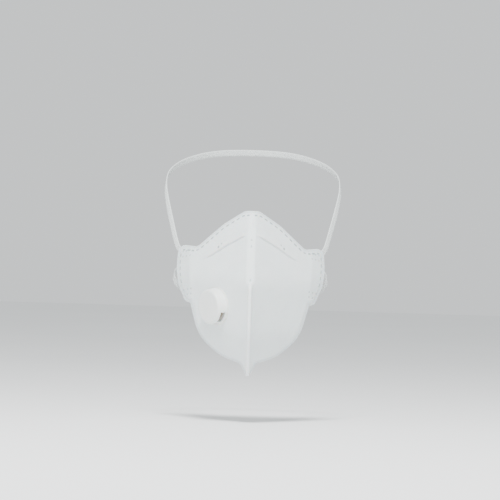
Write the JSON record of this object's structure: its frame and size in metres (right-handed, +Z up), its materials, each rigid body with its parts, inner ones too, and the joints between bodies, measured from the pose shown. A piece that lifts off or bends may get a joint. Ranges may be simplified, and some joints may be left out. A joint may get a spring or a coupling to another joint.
{
  "type": "disposable dust mask",
  "caption": "Vertical-fold disposable dust mask with layered filter panels, nose clip, round exhalation valve and elastic headbands.",
  "frame": {"origin": "middle of the face opening, on the plane between the halves and at mid-height", "axes": "+Y from the mask towards the face, +Z up to the nose, +X to the right as seen from the front"},
  "size_m": [0.1596, 0.2392, 0.205],
  "materials": {
    "outer_fabric": "thermally point-bonded spunbond nonwoven",
    "support_fabric": "lofty needled nonwoven",
    "filter_fabric": "melt-blown nonwoven",
    "lining_fabric": "smooth spunbond nonwoven",
    "clip_metal": "soft bare strip",
    "foam": "fine open-cell foam",
    "valve_plastic": "moulded, satin",
    "seat_plastic": "moulded, satin",
    "flap_rubber": "thin moulded rubber",
    "elastic": "flat knitted elastic"
  },
  "bodies": {
    "left_half": {"outer_cover_left": "outer_fabric", "support_layer_left": "support_fabric", "filter_outer_left": "filter_fabric", "filter_inner_left": "filter_fabric", "inner_lining_left": "lining_fabric", "nose_clip": "clip_metal", "nose_foam": "foam", "valve_seat": "seat_plastic", "valve_cap": "valve_plastic", "valve_ring": "seat_plastic", "upper_headband": "elastic", "lower_headband": "elastic"},
    "right_half": {"outer_cover_right": "outer_fabric", "support_layer_right": "support_fabric", "filter_outer_right": "filter_fabric", "filter_inner_right": "filter_fabric", "inner_lining_right": "lining_fabric"},
    "flap": {"valve_flap": "flap_rubber"}
  },
  "joints": [
    {"name": "fold", "type": "hinge", "parent": "left_half", "child": "right_half", "pos_m": [0, -0.064, 0], "axis": [0, 0, 1], "range_deg": [-12, 54], "deforming": ["outer_cover_left", "support_layer_left", "filter_outer_left", "filter_inner_left", "inner_lining_left", "outer_cover_right", "support_layer_right", "filter_outer_right", "filter_inner_right", "inner_lining_right", "nose_clip", "nose_foam", "upper_headband", "lower_headband"]},
    {"name": "flap_lift", "type": "hinge", "parent": "left_half", "child": "flap", "pos_m": [-0.0316, -0.04458, -0.00095], "axis": [-0.6247, 0.7809, 0], "range_deg": [0, 13], "stiffness_Nm_per_rad": 0.0005, "springref_deg": -5.73}
  ]
}
